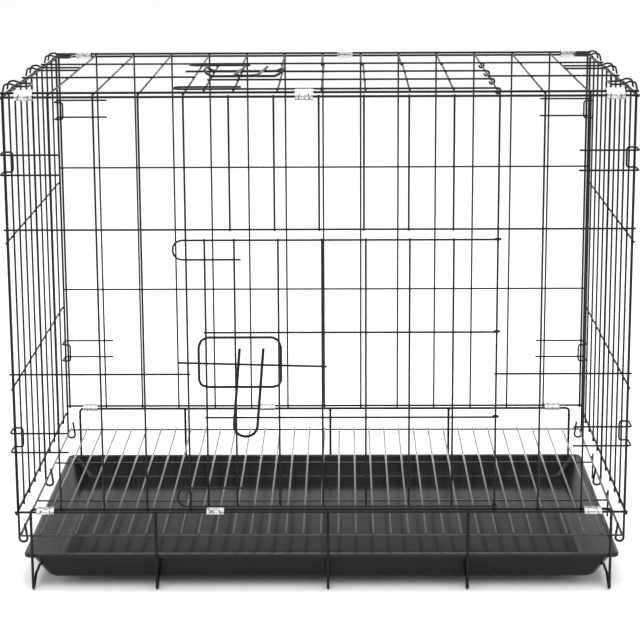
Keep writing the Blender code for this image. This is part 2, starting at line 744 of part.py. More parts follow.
def main():
    clear_scene()
    black_wire = finish("black_epoxy_steel", (0.012, 0.012, 0.013), 0.38, 0.0)
    floor_wire = finish("floor_wire_epoxy", (0.020, 0.020, 0.021), 0.30, 0.0)
    plastic = finish("tray_black_plastic", (0.016, 0.016, 0.018), 0.35, 0.0)
    zinc = finish("zinc_plated_clip", (0.72, 0.73, 0.75), 0.28, 1.0)

    make_bar("base_front_bar", FRONT_BAR_HEIGHT, FRONT_FRAME, black_wire)
    make_bar("base_back_bar", BACK_BAR_HEIGHT, BACK_FRAME, black_wire)
    inner_supports = [bay_x(bay) for bay in INNER_SUPPORT_BAYS]
    for number, x in enumerate([LEFT_SUPPORT, *inner_supports, RIGHT_SUPPORT]):
        make_support(f"base_support_{number + 1}", x, x in (LEFT_SUPPORT, RIGHT_SUPPORT), black_wire)
    make_floor(floor_wire)
    for name, depth in zip(("front_tray_stop", "back_tray_stop"), STOP_DEPTHS):
        make_stop(name, depth, black_wire)
    make_tray(plastic)

    rows = panel_rows([PANEL_BOTTOM, LOW_ROW, HIGH_ROW, PANEL_TOP])
    outer = WIDTH / 2 + ROW_OVERHANG
    make_grid("back_panel", range(BAYS + 1), rows, (-outer, outer), black_wire, BACK_FRAME)
    make_doorway_panel("front_panel", "_head_grid", "_sill_wire", rows, black_wire, FRONT_FRAME)
    top_rows = panel_rows([TOP_FRONT_ROW, TOP_LOW_ROW, TOP_HIGH_ROW, DEPTH - TOP_FRONT_ROW])
    make_doorway_panel("top_panel", "_back_grid", "_front_wire", top_rows, black_wire, TOP_FRAME)
    make_side_panel("left_side_panel", -1, black_wire)
    make_side_panel("right_side_panel", 1, black_wire)

    front_low = PANEL_BOTTOM + FRONT_DOOR_BOTTOM_GAP
    front_rows = row_heights(front_low, HIGH_ROW - FRONT_DOOR_TOP_GAP, FRONT_LATCH_ROOM)
    front_door = make_door("front_door", front_rows, black_wire, FRONT_FRAME)
    make_latch("front", front_rows[2], black_wire, front_door, FRONT_FRAME)
    lid_low = TOP_FRONT_ROW + TOP_DOOR_BOTTOM_GAP
    lid_rows = row_heights(lid_low, TOP_HIGH_ROW - TOP_DOOR_TOP_GAP, TOP_LATCH_ROOM)
    top_door = make_door("top_door", lid_rows, black_wire, TOP_FRAME)
    make_latch("top", lid_rows[2], black_wire, top_door, TOP_FRAME)

    for corner, drop in UPPER_HOOK_DROPS.items():
        make_corner_hook(corner + "_upper_hook", corner, PANEL_TOP - drop, black_wire)
    for corner, rise in LOWER_HOOK_RISES.items():
        make_corner_hook(corner + "_lower_hook", corner, PANEL_BOTTOM + rise, black_wire)
    hook_depths = {
        "front": FRONT_TOP_HOOK,
        "middle": (TOP_LOW_ROW + TOP_HIGH_ROW) / 2 + MIDDLE_TOP_HOOK_SHIFT,
        "back": DEPTH - BACK_TOP_HOOK_INSET,
    }
    for side, word in ((-1, "left"), (1, "right")):
        for where, depth in hook_depths.items():
            reach = TOP_HOOK_REACHES[where]
            make_top_hook(f"{word}_{where}_top_hook", side, depth, reach, black_wire)
    make_clips(zinc)


main()
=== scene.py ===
import json
import math

import bpy
from mathutils import Matrix, Vector

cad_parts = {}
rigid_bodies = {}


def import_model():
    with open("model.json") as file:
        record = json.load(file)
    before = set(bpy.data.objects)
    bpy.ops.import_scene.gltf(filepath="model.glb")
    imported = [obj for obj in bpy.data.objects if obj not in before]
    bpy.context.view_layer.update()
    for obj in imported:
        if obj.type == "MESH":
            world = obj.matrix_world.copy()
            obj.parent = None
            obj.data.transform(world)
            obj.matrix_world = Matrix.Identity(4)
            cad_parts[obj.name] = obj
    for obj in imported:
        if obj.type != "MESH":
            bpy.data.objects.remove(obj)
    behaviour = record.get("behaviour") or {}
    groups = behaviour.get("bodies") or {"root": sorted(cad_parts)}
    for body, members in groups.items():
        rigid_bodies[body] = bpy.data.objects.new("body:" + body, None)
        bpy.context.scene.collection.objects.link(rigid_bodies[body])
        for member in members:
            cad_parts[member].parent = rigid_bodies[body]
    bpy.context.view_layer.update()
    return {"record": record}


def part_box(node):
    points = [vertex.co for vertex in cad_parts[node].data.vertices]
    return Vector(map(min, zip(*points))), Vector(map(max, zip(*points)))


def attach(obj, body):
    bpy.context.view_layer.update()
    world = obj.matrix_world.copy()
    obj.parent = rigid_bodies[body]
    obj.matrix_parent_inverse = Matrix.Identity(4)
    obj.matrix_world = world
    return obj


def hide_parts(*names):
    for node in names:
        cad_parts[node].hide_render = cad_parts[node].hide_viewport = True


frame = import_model()
joints = {joint["name"]: joint for joint in frame["record"]["behaviour"]["joints"]}

# ---------------------------------------------------------------- camera, floor and light
# The crate stands on a seamless white studio floor, under one large soft box and two side
# panels of cloth. A long lens looks slightly down on it from in front, a little right of the
# middle.

FRONT = joints["front_door_hinge"]["pos_m"][1]
CAMERA_PLACE = (0.0243, FRONT - 1.9531, 0.7179)
CAMERA_LENS_MM = 116.3
CAMERA_DOWN = 12.717
CAMERA_LEFT = 0.705
CAMERA_ROLL = -0.291
FLOOR_SIZE = 60.0
WORLD_STRENGTH = 1.0
SOFT_BOXES = (
    ("ceiling_soft_box", (0.0, -0.3, 3.2), (0, 0, 0), 3.4, 90),
    ("left_cloth", (-3.0, -1.2, 1.6), (0, -68, 22), 2.2, 9),
    ("right_cloth", (3.0, -1.0, 1.7), (0, 68, -18), 2.2, 7),
)

bpy.ops.object.select_all(action="DESELECT")
bpy.ops.object.camera_add(location=CAMERA_PLACE)
camera = bpy.context.object
camera.name = "camera"
camera.data.lens = CAMERA_LENS_MM
camera.data.clip_end = 200
aim = Matrix.Rotation(math.radians(CAMERA_LEFT), 3, "Z")
aim = aim @ Matrix.Rotation(math.radians(90 - CAMERA_DOWN), 3, "X")
aim = aim @ Matrix.Rotation(math.radians(CAMERA_ROLL), 3, "Z")
camera.rotation_euler = aim.to_euler()
bpy.context.scene.camera = camera
# Plain display colours: white paper shows white, and thin black wire keeps its darkness on it.
bpy.context.scene.view_settings.view_transform = "Standard"

for name, place, turn, side, power in SOFT_BOXES:
    bpy.ops.object.light_add(type="AREA", location=place)
    soft_box = bpy.context.object
    soft_box.name = name
    soft_box.data.size = side
    soft_box.data.energy = power
    soft_box.rotation_euler = [math.radians(angle) for angle in turn]


def linear(code):
    """An sRGB hex colour as the linear values that a shader takes."""
    parts = [int(code[i : i + 2], 16) / 255 for i in (1, 3, 5)]
    return (*[p / 12.92 if p <= 0.04045 else ((p + 0.055) / 1.055) ** 2.4 for p in parts], 1.0)


def add_node(tree, kind, values=None, links=None, **settings):
    """Adds a shader node: settings are its fields, values its own sockets, links their sources."""
    made = tree.nodes.new(kind)
    for field, value in settings.items():
        setattr(made, field, value)
    for socket, value in (values or {}).items():
        made.inputs[socket].default_value = value
    for socket, source in (links or {}).items():
        tree.links.new(source, made.inputs[socket])
    return made


world = bpy.data.worlds.new("white_studio")
world.use_nodes = True
world.node_tree.nodes["Background"].inputs["Color"].default_value = linear("#ffffff")
world.node_tree.nodes["Background"].inputs["Strength"].default_value = WORLD_STRENGTH
bpy.context.scene.world = world

bpy.ops.mesh.primitive_plane_add(size=FLOOR_SIZE)
floor = bpy.context.object
floor.name = "studio_floor"
paper = bpy.data.materials.new("white_backdrop_paper")
paper.use_nodes = True
sheen = paper.node_tree.nodes["Principled BSDF"]
sheen.inputs["Base Color"].default_value = linear("#fbfbfb")
sheen.inputs["Roughness"].default_value = 0.9
fibre = add_node(paper.node_tree, "ShaderNodeTexNoise", {"Scale": 900.0, "Detail": 3.0})
tooth = add_node(
    paper.node_tree,
    "ShaderNodeBump",
    {"Strength": 0.05, "Distance": 0.0002},
    {"Height": fibre.outputs["Fac"]},
)
paper.node_tree.links.new(tooth.outputs["Normal"], sheen.inputs["Normal"])
floor.data.materials.append(paper)

# ---------------------------------------------------------------- base supports
# Five steel wires hold the crate off the ground and carry the tray. Each is one 2.8 mm wire,
# bent into a post, a small V foot, a straight run under the tray, and the same again at the
# back, then dipped in black epoxy with the rest of the base.

BACK = FRONT + 0.400
BASE_RADIUS = 0.0014
WIRE_SIDES = 12
POST_DEPTH = 0.0030
BACK_POST_DROP = 0.0035
FOOT_FLAT_END = 0.0085
RUN_START = 0.0240
RUN_HEIGHT = 0.0104
FOOT_BEND = 0.0024
END_SOFTENING = 0.00025
WELD_SWELL = 1.25


def start_piece(name):
    """An empty mesh, open in edit mode for wires to be drawn into."""
    bpy.ops.object.select_all(action="DESELECT")
    bpy.ops.object.add(type="MESH")
    piece = bpy.context.object
    piece.name = name
    piece.data.name = name
    bpy.ops.object.mode_set(mode="EDIT")
    return piece


def draw_wire(points, radius, bend=0.003):
    """A round wire: a disc, drawn out along each straight run and spun round each bend."""
    points = [Vector(point) for point in points]
    heading = (points[1] - points[0]).normalized()
    bpy.ops.mesh.primitive_circle_add(
        vertices=WIRE_SIDES,
        radius=radius,
        fill_type="NGON",
        location=points[0],
        rotation=heading.to_track_quat("Z", "Y").to_euler(),
    )
    here = points[0]
    for corner, after in zip(points[1:], points[2:]):
        leaving = (after - corner).normalized()
        angle = heading.angle(leaving)
        back = bend * math.tan(angle / 2)
        stop = corner - heading * back
        if (stop - here).dot(heading) > 0.00001:
            bpy.ops.mesh.extrude_region_move(TRANSFORM_OT_translate={"value": stop - here})
        axis = heading.cross(leaving).normalized()
        bpy.ops.mesh.spin(
            steps=max(2, round(angle / math.radians(20))),
            angle=-angle,
            center=stop + axis.cross(heading) * bend,
            axis=axis,
        )
        here = corner + leaving * back
        heading = leaving
    if (points[-1] - here).dot(heading) > 0.00001:
        bpy.ops.mesh.extrude_region_move(TRANSFORM_OT_translate={"value": points[-1] - here})
    bpy.ops.mesh.select_linked()


def repeat(step, times):
    """Copies what is selected, each copy one step on from the last."""
    for _ in range(times):
        bpy.ops.mesh.duplicate_move(TRANSFORM_OT_translate={"value": step})


def add_welds(places, radius):
    """A small swollen bead at each place, where wires are spot-welded and the coating pools."""
    places = [Vector(place) for place in places]
    bpy.ops.mesh.primitive_uv_sphere_add(
        segments=8, ring_count=6, radius=radius * WELD_SWELL, location=places[0]
    )
    for before, place in zip(places, places[1:]):
        bpy.ops.mesh.duplicate_move(TRANSFORM_OT_translate={"value": place - before})


def finish_piece(piece, material, body, nodes):
    """Softens the cut ends, smooths the wires, and puts the piece in its CAD nodes' stead."""
    bpy.ops.mesh.select_all(action="SELECT")
    bpy.ops.mesh.normals_make_consistent(inside=False)
    bpy.ops.object.mode_set(mode="OBJECT")
    ends = piece.modifiers.new("ends", "BEVEL")
    ends.width = END_SOFTENING
    ends.segments = 2
    ends.limit_method = "ANGLE"
    ends.angle_limit = math.radians(60)
    bpy.ops.object.modifier_apply(modifier=ends.name)
    bpy.ops.object.shade_smooth_by_angle(angle=math.radians(50))
    piece.data.materials.append(material)
    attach(piece, body)
    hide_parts(*nodes)


# Black epoxy baked on steel wire: a satin, nearly black skin. It is slightly uneven like orange
# peel, and a shade greyer and duller in patches where hands rub it.
PEEL_MM = 0.7
RUB_MM = 28.0
epoxy = bpy.data.materials.new("black_epoxy_on_steel_wire")
epoxy.use_nodes = True
tree = epoxy.node_tree
skin = tree.nodes["Principled BSDF"]
skin.inputs["Specular IOR Level"].default_value = 0.20
skin.inputs["IOR"].default_value = 1.5
skin.inputs["Coat Weight"].default_value = 0.04
skin.inputs["Coat Roughness"].default_value = 0.22
where = add_node(tree, "ShaderNodeTexCoord")
rub = add_node(
    tree,
    "ShaderNodeTexNoise",
    {"Scale": 1000 / RUB_MM, "Detail": 4.0, "Roughness": 0.6},
    {"Vector": where.outputs["Object"]},
)
tone = add_node(tree, "ShaderNodeValToRGB", links={"Fac": rub.outputs["Fac"]})
tone.color_ramp.elements[0].position = 0.35
tone.color_ramp.elements[0].color = linear("#050506")
tone.color_ramp.elements[1].position = 0.72
tone.color_ramp.elements[1].color = linear("#0d0d0f")
gloss = add_node(
    tree,
    "ShaderNodeMapRange",
    {"From Min": 0.3, "From Max": 0.7, "To Min": 0.26, "To Max": 0.40},
    {"Value": rub.outputs["Fac"]},
)
peel = add_node(
    tree,
    "ShaderNodeTexNoise",
    {"Scale": 1000 / PEEL_MM, "Detail": 2.0},
    {"Vector": where.outputs["Object"]},
)
dimple = add_node(
    tree,
    "ShaderNodeBump",
    {"Strength": 0.22, "Distance": 0.00008},
    {"Height": peel.outputs["Fac"]},
)
tree.links.new(tone.outputs["Color"], skin.inputs["Base Color"])
tree.links.new(gloss.outputs["Result"], skin.inputs["Roughness"])
tree.links.new(dimple.outputs["Normal"], skin.inputs["Normal"])

for number in range(1, 6):
    node = f"base_support_{number}"
    low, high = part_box(node)
    x = (low[0] + high[0]) / 2
    foot = [(POST_DEPTH, BASE_RADIUS), (FOOT_FLAT_END, BASE_RADIUS), (RUN_START, RUN_HEIGHT)]
    path = [(x, FRONT + POST_DEPTH, high[2])]
    path += [(x, FRONT + y, z) for y, z in foot]
    path += [(x, BACK - y, z) for y, z in reversed(foot)]
    path.append((x, BACK - POST_DEPTH, high[2] - BACK_POST_DROP))
    support = start_piece(f"base_support_wire_{number}")
    draw_wire(path, BASE_RADIUS, FOOT_BEND)
    add_welds([path[0], path[-1]], BASE_RADIUS)
    finish_piece(support, epoxy, "crate_frame", [node])

# ---------------------------------------------------------------- base bars
# A bar of the same wire runs along the front and the back of the base, on top of the supports.
# Its two ends are turned down and butt-welded to the end supports.

BAR_BEND = 0.0040

for node, y in (("base_front_bar", FRONT + POST_DEPTH), ("base_back_bar", BACK - POST_DEPTH)):
    low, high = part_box(node)
    left = low[0] + BASE_RADIUS
    right = high[0] - BASE_RADIUS
    top = high[2] - BASE_RADIUS
    bar = start_piece(node + "_wire")
    draw_wire(
        [(left, y, low[2]), (left, y, top), (right, y, top), (right, y, low[2])],
        BASE_RADIUS,
        BAR_BEND,
    )
    finish_piece(bar, epoxy, "crate_frame", [node])

# ---------------------------------------------------------------- raised wire floor
# The dog stands on a welded grid above the tray: thin wires from front to back over four cross
# wires, with a thicker rail down each side. Its coating is flowed on thick, so it is glossier.

THIN = 0.0010
EDGE = 0.0012
RAIL_X = joints["right_side_fold"]["pos_m"][0]
RAIL_HEIGHT = joints["right_side_fold"]["pos_m"][2]
FLOOR_WIRES = 33
FLOOR_SPAN = 0.5580
FLOOR_CROSS_DEPTHS = (0.0059, 0.120, 0.258, 0.3941)
FLOOR_CROSS_HEIGHT = RAIL_HEIGHT - THIN - EDGE + 0.00015
FLOOR_WIRE_HEIGHT = FLOOR_CROSS_HEIGHT + 2 * THIN - 0.00015
floor_near = FRONT + FLOOR_CROSS_DEPTHS[0] - 0.0005
floor_far = FRONT + FLOOR_CROSS_DEPTHS[-1] + 0.0005
floor_pitch = FLOOR_SPAN / (FLOOR_WIRES - 1)

grid = start_piece("floor_grid_wires")
draw_wire(
    [(-FLOOR_SPAN / 2, floor_near, FLOOR_WIRE_HEIGHT), (-FLOOR_SPAN / 2, floor_far, FLOOR_WIRE_HEIGHT)],
    THIN,
)
repeat((floor_pitch, 0, 0), FLOOR_WIRES - 1)
for side in (-1, 1):
    draw_wire(
        [(side * RAIL_X, floor_near, RAIL_HEIGHT), (side * RAIL_X, floor_far, RAIL_HEIGHT)], EDGE
    )
spots = []
for depth in FLOOR_CROSS_DEPTHS:
    y = FRONT + depth
    end = RAIL_X + EDGE
    draw_wire([(-end, y, FLOOR_CROSS_HEIGHT), (end, y, FLOOR_CROSS_HEIGHT)], THIN)
    for wire in range(FLOOR_WIRES):
        x = -FLOOR_SPAN / 2 + wire * floor_pitch
        spots.append((x, y, (FLOOR_CROSS_HEIGHT + FLOOR_WIRE_HEIGHT) / 2))
    spots += [(side * RAIL_X, y, (FLOOR_CROSS_HEIGHT + RAIL_HEIGHT) / 2) for side in (-1, 1)]
add_welds(spots, THIN * 0.9)

# Flow-coated epoxy: the same black as the panels, but wetter looking, so that the wires' crowns
# catch the light from above as pale lines.
flow_coat = epoxy.copy()
flow_coat.name = "flow_coated_floor_wire"
flow_skin = flow_coat.node_tree.nodes["Principled BSDF"]
flow_skin.inputs["Coat Weight"].default_value = 0.9
flow_skin.inputs["Coat Roughness"].default_value = 0.12
finish_piece(grid, flow_coat, "crate_frame", ["floor_grid"])

# ---------------------------------------------------------------- tray stops
# Two short wires are welded to the outside of the right rail. They hang in front of the tray's
# end wall, so that the tray slides in as far as them and out only to the left.

for node in ("front_tray_stop", "back_tray_stop"):
    low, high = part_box(node)
    x = (low[0] + high[0]) / 2
    y = (low[1] + high[1]) / 2
    stop = start_piece(node + "_wire")
    draw_wire([(x, y, low[2]), (x, y, high[2])], THIN)
    add_welds([((x + RAIL_X) / 2, y, RAIL_HEIGHT)], THIN)
    finish_piece(stop, epoxy, "crate_frame", [node])

# ---------------------------------------------------------------- tray
# The pan is vacuum-formed from 2 mm black polypropylene sheet. Its walls slope out to a flat
# lip with a turned-down edge. The long front wall has sagged a little in the middle.

TRAY_SHEET = 0.0018
TRAY_CORNER = 0.0070
LIP = 0.0048
LIP_TURN = 0.0026
END_SLOPE = 0.0200
SIDE_SLOPE = 0.0092
FLAT_MARGIN = 0.0080
FRONT_SAG = 0.0030
FRONT_DROP = 0.0020
tray_low, tray_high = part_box("tray")
tray_middle = (tray_low + tray_high) / 2
tray_size = tray_high - tray_low
floor_x = tray_size[0] - 2 * (LIP + END_SLOPE)
floor_y = tray_size[1] - 2 * (LIP + SIDE_SLOPE)

bpy.ops.object.select_all(action="DESELECT")
bpy.ops.mesh.primitive_plane_add(size=1, location=(tray_middle[0], tray_middle[1], tray_low[2] + TRAY_SHEET))
pan = bpy.context.object
pan.name = "tray_pan"
pan.data.name = "tray_pan"
bpy.ops.object.mode_set(mode="EDIT")
bpy.ops.transform.resize(value=(floor_x, floor_y, 1))
bpy.ops.mesh.bevel(offset=TRAY_CORNER, segments=8, affect="VERTICES")


def widen(x, y, rise, now_x, now_y):
    """Draws the sheet on from its open edge: outwards by x and y, and up by the rise."""
    bpy.ops.mesh.extrude_region_move(TRANSFORM_OT_translate={"value": (0, 0, rise)})
    bpy.ops.transform.resize(value=((now_x + 2 * x) / now_x, (now_y + 2 * y) / now_y, 1))
    return now_x + 2 * x, now_y + 2 * y


bpy.ops.mesh.inset(thickness=FLAT_MARGIN, depth=0)
bpy.ops.mesh.select_all(action="SELECT")
bpy.ops.mesh.region_to_loop()
wall_rise = tray_size[2] - TRAY_SHEET
now = (floor_x, floor_y)
now = widen(END_SLOPE * 0.12, SIDE_SLOPE * 0.16, wall_rise * 0.06, *now)
now = widen(END_SLOPE * 0.80, SIDE_SLOPE * 0.72, wall_rise * 0.88, *now)
now = widen(END_SLOPE * 0.08, SIDE_SLOPE * 0.12, wall_rise * 0.06, *now)
now = widen(LIP - 0.0008, LIP - 0.0008, 0, *now)
now = widen(0.0008, 0.0008, -0.0008, *now)
now = widen(0, 0, -LIP_TURN, *now)
bpy.ops.mesh.select_all(action="SELECT")
bpy.ops.mesh.normals_make_consistent(inside=False)
bpy.ops.object.mode_set(mode="OBJECT")
wall = pan.modifiers.new("sheet", "SOLIDIFY")
wall.thickness = TRAY_SHEET
wall.offset = -1
wall.use_even_offset = True
edges = pan.modifiers.new("soft_edges", "BEVEL")
edges.width = 0.0006
edges.segments = 3
edges.limit_method = "ANGLE"
edges.angle_limit = math.radians(35)
bpy.ops.object.modifier_apply(modifier="sheet")
bpy.ops.object.modifier_apply(modifier="soft_edges")
bpy.ops.object.transform_apply(location=True, rotation=True, scale=True)
bpy.ops.object.shade_smooth_by_angle(angle=math.radians(45))

flat_starts = tray_low[1] + LIP + SIDE_SLOPE
for vertex in pan.data.vertices:
    along = (vertex.co.x - tray_middle[0]) / (tray_size[0] / 2)
    height = (vertex.co.z - tray_low[2]) / tray_size[2]
    at_front = min(1.0, max(0.0, (flat_starts + FLAT_MARGIN - vertex.co.y) / FLAT_MARGIN))
    vertex.co.z -= at_front * (FRONT_SAG * (1 - along * along) + FRONT_DROP * (1 - height))

# Black polypropylene, formed over a grained mould: a fine leathery grain, a soft waxy shine, and
# faint long scuffs where it slides on the wires.
GRAIN_MM = 0.9
SCUFF_MM = 60.0
plastic = bpy.data.materials.new("black_polypropylene")
plastic.use_nodes = True
tree = plastic.node_tree
wax = tree.nodes["Principled BSDF"]
wax.inputs["IOR"].default_value = 1.49
wax.inputs["Specular IOR Level"].default_value = 0.26
where = add_node(tree, "ShaderNodeTexCoord")
stretch = add_node(
    tree,
    "ShaderNodeMapping",
    {"Scale": (1.0, 9.0, 9.0)},
    {"Vector": where.outputs["Object"]},
)
scuff = add_node(
    tree,
    "ShaderNodeTexNoise",
    {"Scale": 1000 / SCUFF_MM, "Detail": 6.0, "Roughness": 0.65},
    {"Vector": stretch.outputs["Vector"]},
)
shade = add_node(tree, "ShaderNodeValToRGB", links={"Fac": scuff.outputs["Fac"]})
shade.color_ramp.elements[0].position = 0.38
shade.color_ramp.elements[0].color = linear("#060607")
shade.color_ramp.elements[1].position = 0.75
shade.color_ramp.elements[1].color = linear("#0e0e10")
shine = add_node(
    tree,
    "ShaderNodeMapRange",
    {"From Min": 0.3, "From Max": 0.75, "To Min": 0.14, "To Max": 0.26},
    {"Value": scuff.outputs["Fac"]},
)
grain = add_node(
    tree,
    "ShaderNodeTexVoronoi",
    {"Scale": 1000 / GRAIN_MM},
    {"Vector": where.outputs["Object"]},
    feature="SMOOTH_F1",
)
emboss = add_node(
    tree,
    "ShaderNodeBump",
    {"Strength": 0.12, "Distance": 0.00006},
    {"Height": grain.outputs["Distance"]},
)
tree.links.new(shade.outputs["Color"], wax.inputs["Base Color"])
tree.links.new(shine.outputs["Result"], wax.inputs["Roughness"])
tree.links.new(emboss.outputs["Normal"], wax.inputs["Normal"])
pan.data.materials.append(plastic)
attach(pan, "tray")
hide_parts("tray")

# ---------------------------------------------------------------- front, back and top panels
# Each panel is a spot-welded grid: fifteen upright wires, with cross wires over their outer
# side. The front and the top have a doorway, whose two posts are ordinary uprights.

WIDTH = 0.600
BAYS = 14
CELL = WIDTH / BAYS
LEFT_BAY = 4
RIGHT_BAY = 11
LEFT_POST = -WIDTH / 2 + LEFT_BAY * CELL
RIGHT_POST = joints["front_door_hinge"]["pos_m"][0]
TOP = joints["top_door_hinge"]["pos_m"][2]
STUB = 0.0020
TOP_STUB = 0.0015
OVERHANG = 0.0030
SINK = 0.00025
UPRIGHT_ROWS = (0.083, 0.2235, 0.3665, 0.494)
TOP_ROWS = (0.0038, 0.145, 0.280, 0.3962)


def on_front(x, y, z):
    """A place on the front panel: x along it, y behind its uprights' middles, z up it."""
    return Vector((x, FRONT + y, z))


def on_back(x, y, z):
    """As on_front, seen from behind the crate."""
    return Vector((-x, BACK - y, z))


def on_top(x, y, z):
    """As on_front, for the top panel: z runs from its front edge to its back edge."""
    return Vector((x, FRONT + z, TOP - y))


def make_panel(name, place, rows, doorway, nodes):
    """A grid of wires. With a doorway, the row after the first stops at the two posts."""
    piece = start_piece(name)
    spots = []
    for bay in range(BAYS + 1):
        x = -WIDTH / 2 + bay * CELL
        radius = EDGE if bay in (0, BAYS) else THIN
        short = doorway and LEFT_BAY < bay < RIGHT_BAY
        foot = rows[2] if short else rows[0]
        draw_wire([place(x, 0, foot - STUB), place(x, 0, rows[-1] + TOP_STUB)], radius)
    for index, height in enumerate(rows):
        radius = EDGE if index in (0, len(rows) - 1) else THIN
        y = -THIN - radius + SINK
        end = WIDTH / 2 + OVERHANG
        spans = [(-end, end)]
        if doorway and index == 1:
            spans = [(-end, LEFT_POST + STUB), (RIGHT_POST - STUB, end)]
        for start, stop in spans:
            draw_wire([place(start, y, height), place(stop, y, height)], radius)
        for bay in range(BAYS + 1):
            inside = doorway and LEFT_BAY < bay < RIGHT_BAY
            if not (inside and index < 2):
                spots.append(place(-WIDTH / 2 + bay * CELL, y / 2, height))
    add_welds(spots, THIN)
    finish_piece(piece, epoxy, "crate_frame", nodes)


front_nodes = ["front_panel_" + part for part in ("left_grid", "right_grid", "head_grid", "sill_wire")]
top_nodes = ["top_panel_" + part for part in ("left_grid", "right_grid", "back_grid", "front_wire")]
make_panel("front_panel_wires", on_front, UPRIGHT_ROWS, True, front_nodes)
make_panel("back_panel_wires", on_back, UPRIGHT_ROWS, False, ["back_panel"])
make_panel("top_panel_wires", on_top, TOP_ROWS, True, top_nodes)

# ---------------------------------------------------------------- side panels
# Each side is a narrower grid. Its first, middle and last wires go on below it and are bent
# into open eyes round the base's rail, so that the panel can fold flat onto the floor.

SIDE_BAYS = 10
SIDE_INSET = 0.0120
SIDE_ROWS = (0.077, 0.205, 0.351, 0.4918)
SIDE_X = RAIL_X + 0.00294
EYE_BOTTOM = 0.0480
EYE_WIDTH = 0.0085
EYE_TIP = 0.0670
EYE_LEAN = 0.0026
EYE_BEND = 0.0037

for name, side, body in (("left_side_panel", -1, "left_side"), ("right_side_panel", 1, "right_side")):
    piece = start_piece(name + "_wires")
    pitch = (BACK - FRONT - 2 * SIDE_INSET) / SIDE_BAYS
    x = side * SIDE_X
    top = SIDE_ROWS[-1] + 0.0010
    spots = []
    for bay in range(SIDE_BAYS + 1):
        y = FRONT + SIDE_INSET + bay * pitch
        if bay % (SIDE_BAYS // 2):
            draw_wire([(x, y, SIDE_ROWS[0] - STUB), (x, y, top)], THIN)
        else:
            inner = x - side * EYE_WIDTH
            eye = [
                (x, y, top),
                (x, y, EYE_BOTTOM),
                (inner, y, EYE_BOTTOM),
                (inner + side * EYE_LEAN, y, EYE_TIP),
            ]
            draw_wire(eye, EDGE, EYE_BEND)
    for index, height in enumerate(SIDE_ROWS):
        radius = EDGE if index in (0, len(SIDE_ROWS) - 1) else THIN
        row_x = side * (SIDE_X + THIN + radius - SINK)
        near = FRONT + SIDE_INSET - STUB
        far = BACK - SIDE_INSET + STUB
        draw_wire([(row_x, near, height), (row_x, far, height)], radius)
        for bay in range(SIDE_BAYS + 1):
            spots.append(((x + row_x) / 2, FRONT + SIDE_INSET + bay * pitch, height))
    add_welds(spots, THIN)
    finish_piece(piece, epoxy, body, [name])

# ---------------------------------------------------------------- joining clips
# A strip of zinc-plated sheet is wrapped round the edge wires of two panels and crimped shut.
# Its tongue is cut to a trapezium, so two slanted slits show on its face.

CLIP_WIDTH = 0.0172
CLIP_SHEET = 0.0006
TOP_CLIP_INSIDE = 0.0028
BASE_CLIP_INSIDE = 0.0020
SLIT = 0.0007
SLIT_TOP = 0.0040
SLIT_BOTTOM = 0.0056
ROW_OUT = THIN + EDGE - SINK

# Bright zinc plate on rolled sheet: a cool, fairly sharp metal, with fine rolling lines along
# the strip and a few duller spots where the plate is thin.
ROLLING_MM = 0.35
zinc = bpy.data.materials.new("bright_zinc_plate")
zinc.use_nodes = True
tree = zinc.node_tree
plate = tree.nodes["Principled BSDF"]
plate.inputs["Metallic"].default_value = 1.0
where = add_node(tree, "ShaderNodeTexCoord")
along = add_node(
    tree,
    "ShaderNodeMapping",
    {"Scale": (1.0, 0.12, 0.12)},
    {"Vector": where.outputs["Object"]},
)
lines = add_node(
    tree,
    "ShaderNodeTexNoise",
    {"Scale": 1000 / ROLLING_MM, "Detail": 3.0},
    {"Vector": along.outputs["Vector"]},
)
spot = add_node(
    tree,
    "ShaderNodeTexNoise",
    {"Scale": 420.0, "Detail": 3.0},
    {"Vector": where.outputs["Object"]},
)
metal_tone = add_node(tree, "ShaderNodeValToRGB", links={"Fac": spot.outputs["Fac"]})
metal_tone.color_ramp.elements[0].position = 0.3
metal_tone.color_ramp.elements[0].color = linear("#7d8083")
metal_tone.color_ramp.elements[1].position = 0.6
metal_tone.color_ramp.elements[1].color = linear("#d2d4d6")
metal_gloss = add_node(
    tree,
    "ShaderNodeMapRange",
    {"From Min": 0.3, "From Max": 0.7, "To Min": 0.22, "To Max": 0.36},
    {"Value": spot.outputs["Fac"]},
)
rolled = add_node(
    tree,
    "ShaderNodeBump",
    {"Strength": 0.05, "Distance": 0.00002},
    {"Height": lines.outputs["Fac"]},
)
tree.links.new(metal_tone.outputs["Color"], plate.inputs["Base Color"])
tree.links.new(metal_gloss.outputs["Result"], plate.inputs["Roughness"])
tree.links.new(rolled.outputs["Normal"], plate.inputs["Normal"])


